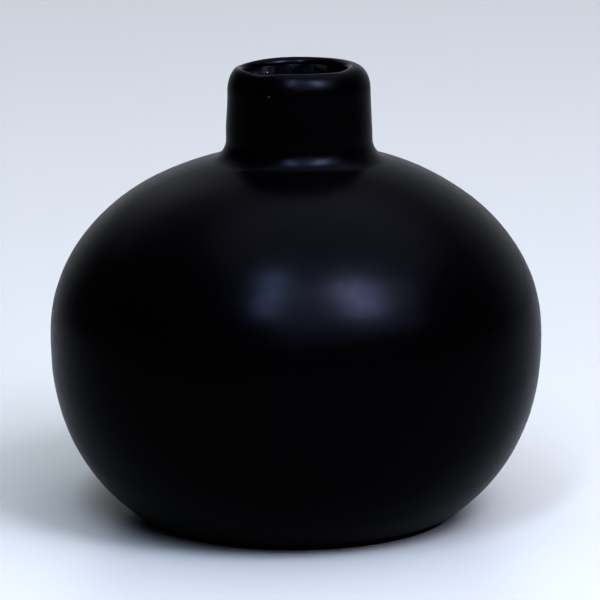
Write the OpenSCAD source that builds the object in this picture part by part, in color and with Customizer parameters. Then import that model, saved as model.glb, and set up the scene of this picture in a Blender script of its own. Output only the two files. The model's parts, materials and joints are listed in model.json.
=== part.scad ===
// Round stoneware bud vase: a slip-cast clay shell with a short neck, coated with
// matt glaze outside, glossy glaze inside and a glazed recess under the foot.
// Origin: centre of the foot, on the table. +Z is the axis, towards the mouth.

/* [Body] */
// Widest diameter of the round belly
belly_d = 105; // [85:1:150]
// Height at which the dome would close if there were no neck
body_h = 79.6; // [64:0.1:120]
// Height of the widest ring above the table
belly_z = 39.8; // [33:0.1:50]
// Fullness of the dome above the widest ring; 2 is a plain ellipse
dome_fullness = 2.07; // [1.8:0.01:3]
// Fullness of the bowl below the widest ring; 2 is a plain ellipse
bowl_fullness = 2.3; // [1.8:0.01:3]
// Thickness of the fired clay, the same all round as in any slip casting
wall_t = 3.5; // [2:0.1:5]
// Radius in the corner between the chamber wall and its floor
floor_fillet_r = 8; // [4:0.5:12]

/* [Neck and mouth] */
// Finished bore of the mouth, which a stopper or stem goes through
mouth_d = 22; // [18:0.5:36]
// Height of the lip above the closing height of the dome
neck_h = 17.9; // [12:0.1:40]
// How much the neck widens on each side between the lip and the shoulder
neck_flare = 0.4; // [0:0.1:2]
// Radius where the neck meets the shoulder outside
neck_fillet_r = 4.6; // [2:0.1:6]
// Height over which the lip rounds off outside
lip_h = 5.2; // [3:0.1:7]
// Radius of the inner edge of the lip
lip_edge_r = 1.3; // [0.6:0.1:1.8]

/* [Foot] */
// Finished outside diameter of the foot ring
foot_d = 66.8; // [55:0.1:82]
// Height of the foot ring
foot_h = 2; // [1.5:0.1:3]
// How far the bowl stands out over the foot ring on each side
heel_overhang = 1.8; // [0.8:0.1:3]
// Radius between the foot ring and the underside of the bowl
foot_fillet_r = 0.5; // [0.3:0.1:0.7]
// Width of the foot ring, glaze included
ring_w = 5.4; // [4:0.1:8]
// Depth of the recess inside the foot ring
recess_h = 1.4; // [1:0.1:2]
// Radius in the corner of the recess
recess_fillet_r = 0.6; // [0.4:0.1:0.8]
// Height of the wiped clay between the table and the glaze, and its rounding
bare_h = 0.3; // [0.2:0.05:0.5]

/* [Glaze] */
// Thickness of every glaze coat
glaze_t = 0.35; // [0.2:0.01:0.5]

/* [Hidden] */
$fn = 120;
oval_steps = 30;
arc_steps = 8;

coated_t = wall_t + 2 * glaze_t;
belly_r = belly_d / 2;
dome_rise = body_h - belly_z;
total_h = body_h + neck_h;
mouth_r = mouth_d / 2;
neck_r = mouth_r + coated_t;
neck_base_r = neck_r + neck_flare;
lip_round_w = coated_t - lip_edge_r;
lip_base_z = total_h - lip_h;
foot_r = foot_d / 2;
heel_r = foot_r + heel_overhang;
recess_r = foot_r - ring_w;
floor_z = recess_h + coated_t;

// The bowl is cut off at the heel, so its full drop is longer than what shows
bowl_drop = (belly_z - foot_h) / pow(1 - pow(heel_r / belly_r, bowl_fullness), 1 / bowl_fullness);

// Value between low and high at which the falling function f reaches zero
function root(f, low, high, halvings = 40) =
    let (middle = (low + high) / 2)
    halvings == 0 ? middle :
    f(middle) > 0 ? root(f, middle, high, halvings - 1) : root(f, low, middle, halvings - 1);

// Points along an oval arc with half axes w and h, from one angle to another
function arc(centre, w, h, from, to, steps) =
    [for (i = [0:steps]) let (a = from + (to - from) * i / steps) centre + [w * cos(a), h * sin(a)]];

// A path without its first point, so that it joins on to the path before it
function joined(path) = [for (i = [1:len(path) - 1]) path[i]];
function part_of(path, first, last) = [for (i = [first:last]) path[i]];
function reversed(path) = [for (i = [len(path) - 1:-1:0]) path[i]];

// Point of a rounded oval at angle t above the widest ring, moved out by grow
function oval_normal(t, w, h, fullness) =
    let (slope = [pow(cos(t), 2 - 2 / fullness) / w, pow(sin(t), 2 - 2 / fullness) / h])
    slope / norm(slope);
function oval_point(t, w, h, fullness, grow) =
    [w * pow(cos(t), 2 / fullness), h * pow(sin(t), 2 / fullness)]
    + grow * oval_normal(t, w, h, fullness);
function dome(t, grow = 0) =
    [0, belly_z] + oval_point(t, belly_r, dome_rise, dome_fullness, grow);
function bowl(t, grow = 0) =
    let (p = oval_point(t, belly_r, bowl_drop, bowl_fullness, grow)) [p.x, belly_z - p.y];

// Direction in which the dome and the bowl face at angle t
function dome_facing(t) =
    let (n = oval_normal(t, belly_r, dome_rise, dome_fullness)) atan2(n.y, n.x);
function bowl_facing(t) =
    let (n = oval_normal(t, belly_r, bowl_drop, bowl_fullness)) -atan2(n.y, n.x);

// The same path moved to its left by d, which is into the wall for every path here
function left_of(a, b) = let (v = b - a) [-v.y, v.x] / norm(v);
function inset(path, d) =
    let (last = len(path) - 1)
    [for (i = [0:last])
        let (before = max(i, 1), after = min(i, last - 1))
        let (m = left_of(path[before - 1], path[before]) + left_of(path[after], path[after + 1]))
        path[i] + 2 * d * m / (m * m)];

// Outside, from the glaze line on the foot to the inner edge of the lip
heel_t = root(function(t) bowl(t).y - foot_h, 0, 90);
neck_t = root(function(t) dome(t, neck_fillet_r).x - neck_base_r - neck_fillet_r, 0, 90);
neck_turn = dome(neck_t, neck_fillet_r);

foot_side = concat(
    [[foot_r, bare_h]],
    arc([foot_r + foot_fillet_r, foot_h - foot_fillet_r], foot_fillet_r, foot_fillet_r, 180, 90, arc_steps));
bowl_outside = [for (i = [0:oval_steps]) bowl(heel_t * (1 - i / oval_steps))];
dome_outside = [for (i = [1:oval_steps]) dome(neck_t * i / oval_steps)];
neck_turn_outside =
    arc(neck_turn, neck_fillet_r, neck_fillet_r, 180 + dome_facing(neck_t), 180, arc_steps);
function ease(s) = s * s * (3 - 2 * s);
neck_outside = [for (i = [0:arc_steps])
    let (s = i / arc_steps)
    [neck_base_r - neck_flare * ease(s), neck_turn.y + (lip_base_z - neck_turn.y) * s]];
lip_outside =
    arc([neck_r - lip_round_w, lip_base_z], lip_round_w, lip_h, 0, 90, 2 * arc_steps);
lip_edge =
    arc([mouth_r + lip_edge_r, total_h - lip_edge_r], lip_edge_r, lip_edge_r, 90, 180, arc_steps);
outside = concat(
    foot_side, bowl_outside, dome_outside, joined(neck_turn_outside),
    joined(neck_outside), joined(lip_outside), joined(lip_edge));

// Inside, down the bore and round the chamber to the middle of its floor
throat_r = neck_fillet_r + coated_t;
throat_t = root(function(t) dome(t, neck_fillet_r).x - neck_r - neck_fillet_r, 0, 90);
throat_turn = dome(throat_t, neck_fillet_r);
corner_t =
    root(function(t) bowl(t, -coated_t - floor_fillet_r).y - floor_z - floor_fillet_r, 0, 90);
corner_turn = bowl(corner_t, -coated_t - floor_fillet_r);

inside = concat(
    arc(throat_turn, throat_r, throat_r, 180, 180 + dome_facing(throat_t), arc_steps),
    [for (i = [1:oval_steps]) dome(throat_t * (1 - i / oval_steps), -coated_t)],
    [for (i = [1:oval_steps]) bowl(corner_t * i / oval_steps, -coated_t)],
    joined(arc(corner_turn, floor_fillet_r, floor_fillet_r, bowl_facing(corner_t), -90, arc_steps)),
    [[0, floor_z]]);

// Underside, from the middle of the recess to the glaze line inside the foot ring
recess = concat(
    [[0, recess_h]],
    arc([recess_r - recess_fillet_r, recess_h - recess_fillet_r],
        recess_fillet_r, recess_fillet_r, 90, 0, arc_steps),
    [[recess_r, bare_h]]);

glazed_face = concat(outside, inside);
clay_face = inset(glazed_face, glaze_t);
clay_recess = inset(recess, glaze_t);
mouth_edge = len(outside) - 1;
last_point = len(glazed_face) - 1;

// The wiped ring of clay that stands on the table, rounded up to both glaze lines
ring_inner_r = recess_r + glaze_t;
ring_outer_r = foot_r - glaze_t;
standing_ring = concat(
    joined(arc([ring_inner_r + bare_h, bare_h], bare_h, bare_h, 180, 270, arc_steps)),
    part_of(arc([ring_outer_r - bare_h, bare_h], bare_h, bare_h, 270, 360, arc_steps), 0, arc_steps - 1));

module coat(face, clay, first, last) {
    rotate_extrude()
        polygon(concat(part_of(face, first, last), reversed(part_of(clay, first, last))));
}

module stoneware_body() {
    color([0.60, 0.55, 0.48])
        rotate_extrude()
            polygon(concat(clay_face, clay_recess, standing_ring));
}

module outer_glaze() {
    color([0.07, 0.07, 0.08])
        coat(glazed_face, clay_face, 0, mouth_edge);
}

module liner_glaze() {
    color([0.02, 0.02, 0.03])
        coat(glazed_face, clay_face, mouth_edge, last_point);
}

module foot_recess_glaze() {
    color([0.09, 0.09, 0.10])
        coat(recess, clay_recess, 0, len(recess) - 1);
}

stoneware_body();
outer_glaze();
liner_glaze();
foot_recess_glaze();
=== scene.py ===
"""The looks of a round matt black stoneware bud vase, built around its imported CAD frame.

The vase is one slip-cast pot, so it is drawn as the layers that it is made of: the fired
clay, the matt coat outside, the glossy liner inside and the coat in the foot's recess.
Each is a lathe-turned closed mesh of the CAD outline, then bent by one and the same
hand-made unevenness, so that the layers still meet face to face.
"""

import json
import math

import bpy
import numpy as np
from mathutils import Matrix, Vector


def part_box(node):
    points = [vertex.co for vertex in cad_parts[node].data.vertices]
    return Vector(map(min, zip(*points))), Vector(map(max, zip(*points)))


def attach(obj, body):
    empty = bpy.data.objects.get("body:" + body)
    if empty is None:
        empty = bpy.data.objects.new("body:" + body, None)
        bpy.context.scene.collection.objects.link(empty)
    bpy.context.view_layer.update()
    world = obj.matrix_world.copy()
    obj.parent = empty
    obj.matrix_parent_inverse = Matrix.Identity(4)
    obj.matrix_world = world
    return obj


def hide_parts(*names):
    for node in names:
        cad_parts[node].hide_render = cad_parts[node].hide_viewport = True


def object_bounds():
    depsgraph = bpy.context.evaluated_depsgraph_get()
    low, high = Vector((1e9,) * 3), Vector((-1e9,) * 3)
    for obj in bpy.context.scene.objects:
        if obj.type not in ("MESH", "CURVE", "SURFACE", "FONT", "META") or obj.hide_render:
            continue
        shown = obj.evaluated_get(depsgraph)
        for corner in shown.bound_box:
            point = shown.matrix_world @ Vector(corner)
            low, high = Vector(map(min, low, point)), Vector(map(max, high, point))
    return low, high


MM = 0.001
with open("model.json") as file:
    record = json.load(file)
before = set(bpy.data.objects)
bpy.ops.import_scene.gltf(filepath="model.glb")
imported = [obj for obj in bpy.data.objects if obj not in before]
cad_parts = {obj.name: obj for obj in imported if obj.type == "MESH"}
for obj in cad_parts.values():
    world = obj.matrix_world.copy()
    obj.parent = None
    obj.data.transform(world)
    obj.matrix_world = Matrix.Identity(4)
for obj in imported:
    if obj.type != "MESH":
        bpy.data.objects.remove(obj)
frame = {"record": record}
cad_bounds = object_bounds()

# ---------------------------------------------------------------- sizes from the frame

vase_high = cad_bounds[1]
clay_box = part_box("stoneware_body")
liner_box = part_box("liner_glaze")
recess_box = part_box("foot_recess_glaze")
mounts = {mount["name"]: mount for mount in frame["record"]["mounts"]}

BELLY_R = vase_high.x
TOTAL_H = vase_high.z
MOUTH_R = mounts["mouth"]["dims"]["r_mm"] * MM
GLAZE_T = BELLY_R - clay_box[1].x
COATED_T = BELLY_R - liner_box[1].x + GLAZE_T
BARE_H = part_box("outer_glaze")[0].z
FLOOR_Z = liner_box[0].z + GLAZE_T
RECESS_R = recess_box[1].x - GLAZE_T
RECESS_H = recess_box[1].z - GLAZE_T
NECK_R = MOUTH_R + COATED_T

# ---------------------------------------------------------------- outline, as in the CAD

BELLY_Z = 39.8 * MM
BODY_H = TOTAL_H - 17.9 * MM
DOME_FULLNESS = 2.07
BOWL_FULLNESS = 2.3
NECK_FLARE = 0.4 * MM
NECK_FILLET_R = 4.6 * MM
LIP_H = 5.2 * MM
LIP_EDGE_R = 1.3 * MM
RING_W = 5.4 * MM
FOOT_H = 2 * MM
HEEL_OVERHANG = 1.8 * MM
FOOT_FILLET_R = 0.5 * MM
RECESS_FILLET_R = 0.6 * MM
FLOOR_FILLET_R = 8 * MM

FOOT_R = RECESS_R + RING_W
HEEL_R = FOOT_R + HEEL_OVERHANG
DOME_RISE = BODY_H - BELLY_Z
LIP_BASE_Z = TOTAL_H - LIP_H
BOWL_DROP = (BELLY_Z - FOOT_H) / (1 - (HEEL_R / BELLY_R) ** BOWL_FULLNESS) ** (1 / BOWL_FULLNESS)

TURNS = 240
OVAL_STEPS = 56
ARC_STEPS = 12
SAME_POINT = 1e-7            # points nearer than this are one point
SHARP_ANGLE = 50


def smooth(value, low, high):
    """0 below low, 1 above high, and an S-shaped ramp between."""
    share = np.clip((value - low) / (high - low), 0, 1)
    return share * share * (3 - 2 * share)


def root(f, low, high):
    """Value between low and high at which the falling function f reaches zero."""
    for _ in range(50):
        middle = (low + high) / 2
        if f(middle) > 0:
            low = middle
        else:
            high = middle
    return middle


def arc(centre, width, height, start, end, steps=ARC_STEPS):
    """Points along an oval arc, from one angle to another in degrees."""
    angles = np.radians(np.linspace(start, end, steps + 1))
    return np.array(centre) + np.stack([width * np.cos(angles), height * np.sin(angles)], -1)


def oval(angle, width, height, fullness, grow):
    """Point of a rounded oval above its widest ring, moved out by grow, and its normal."""
    c, s = math.cos(angle), math.sin(angle)
    point = np.array([width * c ** (2 / fullness), height * s ** (2 / fullness)])
    normal = np.array([c ** (2 - 2 / fullness) / width, s ** (2 - 2 / fullness) / height])
    normal /= np.linalg.norm(normal)
    return point + grow * normal, normal


def dome(angle, grow=0.0):
    """Point and normal on the vase above its widest ring, moved out by grow."""
    point, normal = oval(angle, BELLY_R, DOME_RISE, DOME_FULLNESS, grow)
    return np.array([point[0], BELLY_Z + point[1]]), normal


def bowl(angle, grow=0.0):
    """Point and normal on the vase below its widest ring, moved out by grow."""
    point, normal = oval(angle, BELLY_R, BOWL_DROP, BOWL_FULLNESS, grow)
    return np.array([point[0], BELLY_Z - point[1]]), np.array([normal[0], -normal[1]])


def facing(normal):
    """Angle of an outline's normal above the horizontal, in degrees."""
    return math.degrees(math.atan2(normal[1], normal[0]))


def join(*paths):
    """One path from several, with the points that they share kept once."""
    points = np.concatenate([np.atleast_2d(path) for path in paths])
    apart = np.linalg.norm(np.diff(points, axis=0), axis=1) > SAME_POINT
    return points[np.concatenate([[True], apart])]


def inset(path, depth):
    """The path moved to its left, which is into the wall for every path here."""
    step = np.diff(path, axis=0)
    left = np.stack([-step[:, 1], step[:, 0]], -1) / np.linalg.norm(step, axis=1)[:, None]
    both = np.concatenate([left[:1], left]) + np.concatenate([left, left[-1:]])
    return path + 2 * depth * both / (both**2).sum(1)[:, None]


def outside_path():
    """Finished outside, from the foot ring's bare band to the inner edge of the lip."""
    quarter = math.pi / 2
    heel = root(lambda a: bowl(a)[0][1] - FOOT_H, 0, quarter)
    seat_r = NECK_R + NECK_FLARE + NECK_FILLET_R
    shoulder = root(lambda a: dome(a, NECK_FILLET_R)[0][0] - seat_r, 0, quarter)
    turn, turn_normal = dome(shoulder, NECK_FILLET_R)
    rise = np.linspace(0, 1, ARC_STEPS + 1)
    neck = np.stack([NECK_R + NECK_FLARE * (1 - smooth(rise, 0, 1)),
                     turn[1] + (LIP_BASE_Z - turn[1]) * rise], -1)
    lip_w = COATED_T - LIP_EDGE_R
    return join(
        [[FOOT_R, BARE_H]],
        [[FOOT_R, BARE_H + GLAZE_T]],
        arc((FOOT_R + FOOT_FILLET_R, FOOT_H - FOOT_FILLET_R), FOOT_FILLET_R, FOOT_FILLET_R, 180, 90),
        [bowl(a)[0] for a in np.linspace(heel, 0, OVAL_STEPS)],
        [dome(a)[0] for a in np.linspace(0, shoulder, OVAL_STEPS)],
        arc(turn, NECK_FILLET_R, NECK_FILLET_R, 180 + facing(turn_normal), 180),
        neck,
        arc((NECK_R - lip_w, LIP_BASE_Z), lip_w, LIP_H, 0, 90, 2 * ARC_STEPS),
        arc((MOUTH_R + LIP_EDGE_R, TOTAL_H - LIP_EDGE_R), LIP_EDGE_R, LIP_EDGE_R, 90, 180),
    )


def inside_path():
    """Finished inside, from the lip's inner edge down the bore to the middle of the floor."""
    quarter = math.pi / 2
    seat_r = NECK_R + NECK_FILLET_R
    throat_r = NECK_FILLET_R + COATED_T
    throat = root(lambda a: dome(a, NECK_FILLET_R)[0][0] - seat_r, 0, quarter)
    turn, turn_normal = dome(throat, NECK_FILLET_R)
    depth = -COATED_T - FLOOR_FILLET_R
    corner = root(lambda a: bowl(a, depth)[0][1] - FLOOR_Z - FLOOR_FILLET_R, 0, quarter)
    corner_turn, corner_normal = bowl(corner, depth)
    bore_top = TOTAL_H - LIP_EDGE_R
    return join(
        [[MOUTH_R, z] for z in np.linspace(bore_top, turn[1], ARC_STEPS)],
        arc(turn, throat_r, throat_r, 180, 180 + facing(turn_normal)),
        [dome(a, -COATED_T)[0] for a in np.linspace(throat, 0, OVAL_STEPS)],
        [bowl(a, -COATED_T)[0] for a in np.linspace(0, corner, OVAL_STEPS)],
        arc(corner_turn, FLOOR_FILLET_R, FLOOR_FILLET_R, facing(corner_normal), -90),
        [[r, FLOOR_Z] for r in np.linspace(corner_turn[0], 0, ARC_STEPS)],
    )


def recess_path():
    """Finished underside, from the middle of the recess to the bare band inside the ring."""
    turn = (RECESS_R - RECESS_FILLET_R, RECESS_H - RECESS_FILLET_R)
    return join(
        [[r, RECESS_H] for r in np.linspace(0, turn[0], ARC_STEPS)],
        arc(turn, RECESS_FILLET_R, RECESS_FILLET_R, 90, 0),
        [[RECESS_R, BARE_H]],
    )


# ---------------------------------------------------------------- hand-made unevenness

NECK_SHIFT = 0.93 * MM       # the neck sits off the belly's axis, towards +X
BORE_SHARE = 0.1             # share of that shift which the bore follows
RIM_DROP = 0.12 * MM         # how far the hand-trimmed rim lies below the CAD's all round
# where the rim dips further: angle and width in degrees, depth
RIM_DIPS = ((157, 40, 0.62 * MM), (230, 18, 0.6 * MM), (322, 18, 0.26 * MM), (80, 45, 0.22 * MM))
WAVE_DEPTH = 0.1 * MM        # waves round and up the vase, from its casting and its glaze
WAVE_H = 100 * MM
# each wave: number round the vase, radians up WAVE_H, phase, share of the depth
WAVES = ((2, 31, 0.4, 0.35), (3, -47, 2.1, 0.3), (5, 83, 4.4, 0.2), (7, -120, 1.2, 0.15))
SHOULDER_Z = BODY_H - 10 * MM        # the neck's shift grows from here to the neck's foot
NECK_FOOT_Z = BODY_H
FOOT_CALM_H = 12 * MM        # the waves grow from the table to this height


def rim_drop(angle):
    """How far the hand-trimmed rim dips at each angle round the mouth."""
    drop = np.full_like(angle, RIM_DROP)
    for where, width, depth in RIM_DIPS:
        away = (np.degrees(angle) - where + 180) % 360 - 180
        drop += depth * np.exp(-((away / width) ** 2))
    return drop


def hand_made(points):
    """Bends points of the true lathe-turned form into the slightly uneven real one."""
    x, y, z = points.T
    r = np.hypot(x, y)
    angle = np.arctan2(y, x)
    wave = sum(share * np.cos(number * angle + up * z / WAVE_H + phase)
               for number, up, phase, share in WAVES)
    sink = WAVE_DEPTH * (1 + wave) / 2 * smooth(z, 0, FOOT_CALM_H) * smooth(r, 0, NECK_R)
    scale = 1 - sink / np.maximum(r, MM)
    risen = smooth(z, SHOULDER_Z, NECK_FOOT_Z)
    follow = BORE_SHARE + (1 - BORE_SHARE) * smooth(r, MOUTH_R, NECK_R)
    at_rim = smooth(z, NECK_FOOT_Z, TOTAL_H)
    shift = NECK_SHIFT * risen * follow
    return np.stack([x * scale + shift, y * scale, z - at_rim * rim_drop(angle)], -1)


# ---------------------------------------------------------------- meshes


def lathe(name, loop, wet=None):
    """Closed mesh from a closed outline turned about Z; wet marks where it is liner-glossy."""
    angles = np.linspace(0, 2 * math.pi, TURNS, endpoint=False)
    ring = np.stack([np.cos(angles), np.sin(angles)], -1)
    points, rings, marks = [], [], []
    for index, (r, z) in enumerate(loop):
        on_axis = r < SAME_POINT
        count = 1 if on_axis else TURNS
        rings.append((len(points), count))
        points.extend([(0, 0, z)] if on_axis else [(r * c, r * s, z) for c, s in ring])
        marks.extend([0.0 if wet is None else wet[index]] * count)
    faces = []
    for (a, a_count), (b, b_count) in zip(rings, rings[1:] + rings[:1]):
        for i in range(TURNS):
            j = (i + 1) % TURNS
            corner = [a + i % a_count, a + j % a_count, b + j % b_count, b + i % b_count]
            face = list(dict.fromkeys(corner))
            if len(face) > 2:
                faces.append(face)
    mesh = bpy.data.meshes.new(name)
    mesh.from_pydata(hand_made(np.array(points)).tolist(), [], faces)
    mesh.attributes.new("wet_edge", "FLOAT", "POINT").data.foreach_set("value", marks)
    mesh.validate()
    mesh.shade_smooth()
    mesh.set_sharp_from_angle(angle=math.radians(SHARP_ANGLE))
    piece = bpy.data.objects.new(name, mesh)
    bpy.context.scene.collection.objects.link(piece)
    return piece


def rounded_end(path, first):
    """The path with its first or last corner rolled over on to the clay, as glaze ends."""
    r, z = path[0 if first else -1]
    if first:
        bead = arc((r - GLAZE_T, z + GLAZE_T), GLAZE_T, GLAZE_T, -90, 0)
        return join(bead, path[2:])
    bead = arc((r + GLAZE_T, z + GLAZE_T), GLAZE_T, GLAZE_T, 180, 270)
    return join(path[:-1], bead)


outside, inside, recess = outside_path(), inside_path(), recess_path()
glazed_face = join(outside, inside)
clay_face = inset(glazed_face, GLAZE_T)
clay_recess = inset(recess, GLAZE_T)
mouth_edge = len(outside) - 1

# ---------------------------------------------------------------- materials


class Nodes:
    """A short way to add nodes to a material and to link them."""

    def __init__(self, name):
        self.material = bpy.data.materials.new(name)
        self.material.use_nodes = True
        self.tree = self.material.node_tree
        self.shader = self.tree.nodes["Principled BSDF"]
        self.place = self.add("ShaderNodeTexCoord").outputs["Object"]

    def add(self, kind, **settings):
        node = self.tree.nodes.new(kind)
        for key, value in settings.items():
            setattr(node, key, value)
        return node

    def link(self, source, target):
        self.tree.links.new(source, target)

    def noise(self, grain, detail=3.0):
        """Soft noise whose lumps are about grain metres across."""
        node = self.add("ShaderNodeTexNoise")
        self.link(self.place, node.inputs["Vector"])
        node.inputs["Scale"].default_value = 1 / grain
        node.inputs["Detail"].default_value = detail
        return node.outputs["Fac"]

    def ramp(self, value, low, high, at_low=0.0, at_high=1.0):
        """value mapped from low..high to at_low..at_high, held at both ends."""
        node = self.add("ShaderNodeMapRange")
        self.link(value, node.inputs["Value"])
        for key, number in (("From Min", low), ("From Max", high), ("To Min", at_low), ("To Max", at_high)):
            node.inputs[key].default_value = number
        return node.outputs["Result"]

    def times(self, a, b):
        node = self.add("ShaderNodeMath", operation="MULTIPLY")
        for socket, value in zip(node.inputs, (a, b)):
            if isinstance(value, (int, float)):
                socket.default_value = value
            else:
                self.link(value, socket)
        return node.outputs["Value"]

    def plus(self, a, b):
        node = self.add("ShaderNodeMath", operation="ADD", use_clamp=True)
        self.link(a, node.inputs[0])
        self.link(b, node.inputs[1])
        return node.outputs["Value"]

    def mix_value(self, share, a, b):
        """Number a where share is 0 and b where it is 1."""
        node = self.add("ShaderNodeMix")
        self.link(share, node.inputs["Factor"])
        self.link(a, node.inputs["A"])
        node.inputs["B"].default_value = b
        return node.outputs["Result"]

    def blend(self, share, a, b):
        """Colour a where share is 0 and b where it is 1."""
        node = self.add("ShaderNodeMix", data_type="RGBA")
        self.link(share, node.inputs["Factor"])
        for socket, colour in ((node.inputs["A"], a), (node.inputs["B"], b)):
            if isinstance(colour, tuple):
                socket.default_value = (*colour, 1)
            else:
                self.link(colour, socket)
        return node.outputs["Result"]

    def specks(self, spacing, radius, rarity):
        """Small round specks: one cell in some, each about radius metres across."""
        node = self.add("ShaderNodeTexVoronoi")
        self.link(self.place, node.inputs["Vector"])
        node.inputs["Scale"].default_value = 1 / spacing
        near = self.ramp(node.outputs["Distance"], radius / spacing, 0.4 * radius / spacing)
        pick = self.add("ShaderNodeSeparateColor")
        self.link(node.outputs["Color"], pick.inputs["Color"])
        chosen = self.ramp(pick.outputs["Red"], 1 - rarity, 1 - rarity + 0.02)
        return self.times(near, chosen)

    def spot(self, centre, radius):
        """1 at one point of the piece, fading to 0 at radius metres from it."""
        node = self.add("ShaderNodeVectorMath", operation="DISTANCE")
        self.link(self.place, node.inputs[0])
        node.inputs[1].default_value = centre
        return self.ramp(node.outputs["Value"], radius, 0.3 * radius)

    def bump(self, *layers):
        """Bump from (height value, depth in metres) layers, one after the other."""
        normal = None
        for height, depth in layers:
            node = self.add("ShaderNodeBump")
            node.inputs["Distance"].default_value = depth
            self.link(height, node.inputs["Height"])
            if normal is not None:
                self.link(normal, node.inputs["Normal"])
            normal = node.outputs["Normal"]
        self.link(normal, self.shader.inputs["Normal"])


PINHOLE = (-5.4 * MM, -13.8 * MM, 92.9 * MM)     # one pale pinhole in the glaze below the lip
PINHOLE_R = 0.4 * MM


def matt_glaze():
    """Satin matt black glaze: near black, faintly mottled, with a fine eggshell surface."""
    n = Nodes("matt_black_glaze")
    clouds = n.noise(14 * MM)
    mottle = n.noise(2.2 * MM)
    wet = n.add("ShaderNodeAttribute", attribute_name="wet_edge").outputs["Fac"]
    dust = n.specks(3.2 * MM, 0.11 * MM, 0.1)
    black = n.blend(clouds, (0.0007, 0.0006, 0.001), (0.0014, 0.0012, 0.0019))
    dusty = n.blend(n.times(dust, 0.5), black, (0.06, 0.055, 0.05))
    pricked = n.blend(n.spot(PINHOLE, PINHOLE_R), dusty, (0.05, 0.048, 0.048))
    n.link(pricked, n.shader.inputs["Base Color"])
    satin = n.ramp(mottle, 0.3, 0.7, 0.27, 0.31)
    n.link(n.mix_value(wet, satin, 0.22), n.shader.inputs["Roughness"])
    n.shader.inputs["IOR"].default_value = 1.5
    n.shader.inputs["Specular IOR Level"].default_value = 0.09
    n.bump((n.noise(9 * MM, 1.0), 0.012 * MM), (n.noise(0.6 * MM), 0.004 * MM), (dust, 0.03 * MM))
    return n.material


def gloss_glaze():
    """Glossy black liner glaze with a little dust lying in it; the faint blue in its black is painted
    sheen.
    """
    n = Nodes("gloss_black_glaze")
    dust = n.specks(1.8 * MM, 0.26 * MM, 0.45)
    film = n.ramp(n.noise(4 * MM), 0.5, 0.68, 0.0, 0.5)
    # the near-black is the glaze's own colour; its blue tint is painted sheen, standing in for reflected
    # light inside the mouth
    black = n.blend(film, (0.0035, 0.004, 0.0065), (0.06, 0.052, 0.038))
    n.link(n.blend(dust, black, (0.45, 0.44, 0.43)), n.shader.inputs["Base Color"])
    n.link(n.ramp(n.plus(dust, film), 0.0, 1.0, 0.3, 0.7), n.shader.inputs["Roughness"])
    n.shader.inputs["IOR"].default_value = 1.5
    n.bump((n.noise(5 * MM, 1.0), 0.08 * MM), (dust, 0.1 * MM))
    return n.material


def fired_clay():
    """Bare fired stoneware: warm grey, sandy, with darker iron specks."""
    n = Nodes("fired_stoneware")
    grain = n.noise(0.5 * MM, 5.0)
    iron = n.specks(1.6 * MM, 0.16 * MM, 0.3)
    clay = n.blend(grain, (0.30, 0.26, 0.21), (0.44, 0.39, 0.33))
    n.link(n.blend(iron, clay, (0.12, 0.08, 0.05)), n.shader.inputs["Base Color"])
    n.link(n.ramp(grain, 0.3, 0.7, 0.75, 0.95), n.shader.inputs["Roughness"])
    n.bump((grain, 0.05 * MM))
    return n.material


def pale_floor():
    """Plain pale floor with a soft sheen."""
    n = Nodes("pale_floor")
    pale = n.blend(n.noise(0.6, 1.0), (0.305, 0.304, 0.248), (0.32, 0.319, 0.263))
    n.link(pale, n.shader.inputs["Base Color"])
    n.shader.inputs["Roughness"].default_value = 0.4
    n.shader.inputs["IOR"].default_value = 1.3
    return n.material


# ---------------------------------------------------------------- pieces


def wet_marks(loop):
    """1 on the bore side of the lip's crest, where liner glaze has run over the edge."""
    return smooth(MOUTH_R + LIP_EDGE_R - loop[:, 0], 0, 0.3 * LIP_EDGE_R).tolist()


def add_piece(name, node, material, loop, wet=None):
    """One layer of the vase, which takes the place of the CAD node."""
    piece = lathe(name, loop, wet)
    piece.data.materials.append(material)
    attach(piece, "root")
    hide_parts(node)
    return piece


matt, gloss, clay = matt_glaze(), gloss_glaze(), fired_clay()

finished_outside = rounded_end(outside, first=True)
outer_loop = join(finished_outside, clay_face[mouth_edge:0:-1])
add_piece("outer_glaze_coat", "outer_glaze", matt, outer_loop, wet_marks(outer_loop))

liner_loop = join(glazed_face[mouth_edge:], clay_face[:mouth_edge - 1:-1])
add_piece("liner_glaze_coat", "liner_glaze", gloss, liner_loop)

recess_loop = join(rounded_end(recess, first=False), clay_recess[-2::-1])
add_piece("recess_glaze_coat", "foot_recess_glaze", matt, recess_loop)

ring_inner_r, ring_outer_r = RECESS_R + GLAZE_T, FOOT_R - GLAZE_T
standing_ring = join(
    arc((ring_inner_r + BARE_H, BARE_H), BARE_H, BARE_H, 180, 270),
    arc((ring_outer_r - BARE_H, BARE_H), BARE_H, BARE_H, 270, 360),
)
clay_loop = join(clay_face, clay_recess, standing_ring)[:-1]
add_piece("clay_shell", "stoneware_body", clay, clay_loop)

# ---------------------------------------------------------------- floor, light and camera


def aim(thing, place, target, roll=0.0):
    """Puts a camera or a light at place, looking at target, turned by roll about its axis."""
    turn = (Vector(target) - Vector(place)).to_track_quat("-Z", "Y").to_matrix().to_4x4()
    thing.matrix_world = Matrix.Translation(place) @ turn @ Matrix.Rotation(roll, 4, "Z")


def around(distance, azimuth, elevation, centre):
    """Point at a distance from centre; azimuth 0 is in front, and positive is to the right."""
    a, e = math.radians(azimuth), math.radians(elevation)
    step = Vector((math.sin(a) * math.cos(e), -math.cos(a) * math.cos(e), math.sin(e)))
    return Vector(centre) + distance * step


FLOOR_SIZE = 12.0
VASE_MIDDLE = Vector((0, 0, 45 * MM))


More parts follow.
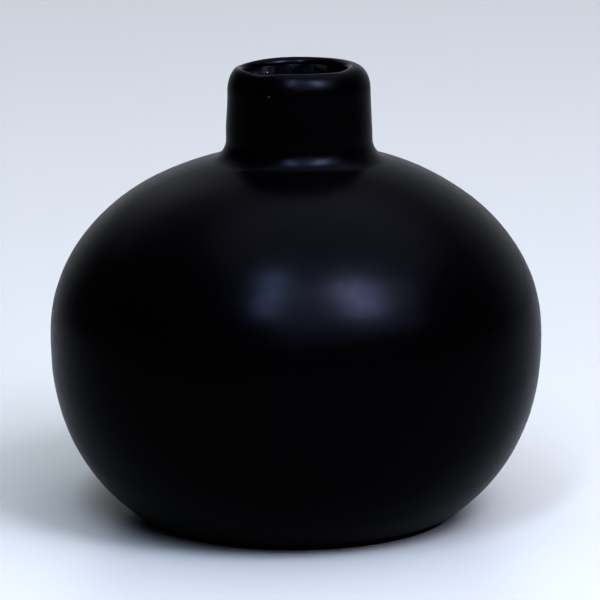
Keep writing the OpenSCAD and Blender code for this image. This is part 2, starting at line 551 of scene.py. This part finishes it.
def add_floor():
    """A flat floor that the vase stands on, wide enough to fill the picture."""
    half = FLOOR_SIZE / 2
    corners = [(-half, -half, 0), (half, -half, 0), (half, half, 0), (-half, half, 0)]
    mesh = bpy.data.meshes.new("floor")
    mesh.from_pydata(corners, [], [(0, 1, 2, 3)])
    floor = bpy.data.objects.new("floor", mesh)
    bpy.context.scene.collection.objects.link(floor)
    mesh.materials.append(pale_floor())


def add_panel(name, azimuth, elevation, width, height, power, colour, distance=1.6):
    """A soft rectangular studio light that looks at the vase."""
    light = bpy.data.lights.new(name, "AREA")
    light.shape = "RECTANGLE"
    light.size, light.size_y = width, height
    light.energy = power
    light.color = colour
    panel = bpy.data.objects.new(name, light)
    bpy.context.scene.collection.objects.link(panel)
    aim(panel, around(distance, azimuth, elevation, VASE_MIDDLE), VASE_MIDDLE)


DIM_ROOM = (0.045, 0.045, 0.055)
PALE_WALL = (0.52, 0.54, 0.56)
WALL_DIRECTION = (0.22, 0.97, 0.0)          # behind the vase, a little to the right
WHITE_CEILING = (1.8, 1.8, 2.25)
CEILING_DIRECTION = (0.17, -0.06, 0.984)    # above the vase, a little to the right


def add_world():
    """A dim room in front of the vase, a pale wall behind it and a white ceiling above."""
    world = bpy.data.worlds.new("studio")
    bpy.context.scene.world = world
    world.use_nodes = True
    tree = world.node_tree
    seen = tree.nodes.new("ShaderNodeTexCoord").outputs["Generated"]

    def patch(direction, edge, core):
        """1 in the core of a soft round patch of the surroundings, and 0 outside its edge."""
        towards = tree.nodes.new("ShaderNodeVectorMath")
        towards.operation = "DOT_PRODUCT"
        towards.inputs[1].default_value = direction
        tree.links.new(seen, towards.inputs[0])
        share = tree.nodes.new("ShaderNodeMapRange")
        share.interpolation_type = "SMOOTHSTEP"
        share.inputs["From Min"].default_value = edge
        share.inputs["From Max"].default_value = core
        tree.links.new(towards.outputs["Value"], share.inputs["Value"])
        return share.outputs["Result"]

    def over(share, below, above):
        """The colour below, covered by the colour above where share is 1."""
        mix = tree.nodes.new("ShaderNodeMix")
        mix.data_type = "RGBA"
        if isinstance(below, tuple):
            mix.inputs["A"].default_value = (*below, 1)
        else:
            tree.links.new(below, mix.inputs["A"])
        mix.inputs["B"].default_value = (*above, 1)
        tree.links.new(share, mix.inputs["Factor"])
        return mix.outputs["Result"]

    walls = over(patch(WALL_DIRECTION, 0.3, 0.9), DIM_ROOM, PALE_WALL)
    room = over(patch(CEILING_DIRECTION, 0.66, 0.92), walls, WHITE_CEILING)
    tree.links.new(room, tree.nodes["Background"].inputs["Color"])


CAMERA_DISTANCE = 0.962
CAMERA_ELEVATION = 12.23
CAMERA_LENS, CAMERA_SENSOR = 270.2, 36
CAMERA_ROLL = -0.34
AIM_RIGHT, AIM_UP = 0.9 * MM, 1.57 * MM


def add_camera():
    """A camera in front of the vase, a little above it."""
    data = bpy.data.cameras.new("camera")
    data.lens = CAMERA_LENS
    data.sensor_width = CAMERA_SENSOR
    camera = bpy.data.objects.new("camera", data)
    bpy.context.scene.collection.objects.link(camera)
    target = VASE_MIDDLE + Vector((AIM_RIGHT, 0, AIM_UP))
    place = around(CAMERA_DISTANCE, 0, CAMERA_ELEVATION, target)
    aim(camera, place, target, math.radians(CAMERA_ROLL))
    bpy.context.scene.camera = camera


add_floor()
add_world()
# each panel: name, azimuth, elevation, width and height in metres, power in watts, colour
add_panel("window_left", -17, 51, 0.17, 0.95, 15, (0.50, 0.65, 1.0))
add_panel("window_right", 38, 45, 0.45, 0.80, 24, (0.61, 0.67, 1.0))
add_panel("bright_wall", 27, 40, 2.6, 1.3, 41, (0.70, 0.72, 1.0), distance=1.9)
add_panel("left_doorway", -142, 40, 1.4, 1.0, 2, (0.86, 0.86, 1.0), distance=2.0)
add_camera()
bpy.context.scene.view_settings.view_transform = "Standard"
bpy.context.scene.view_settings.look = "Very High Contrast"
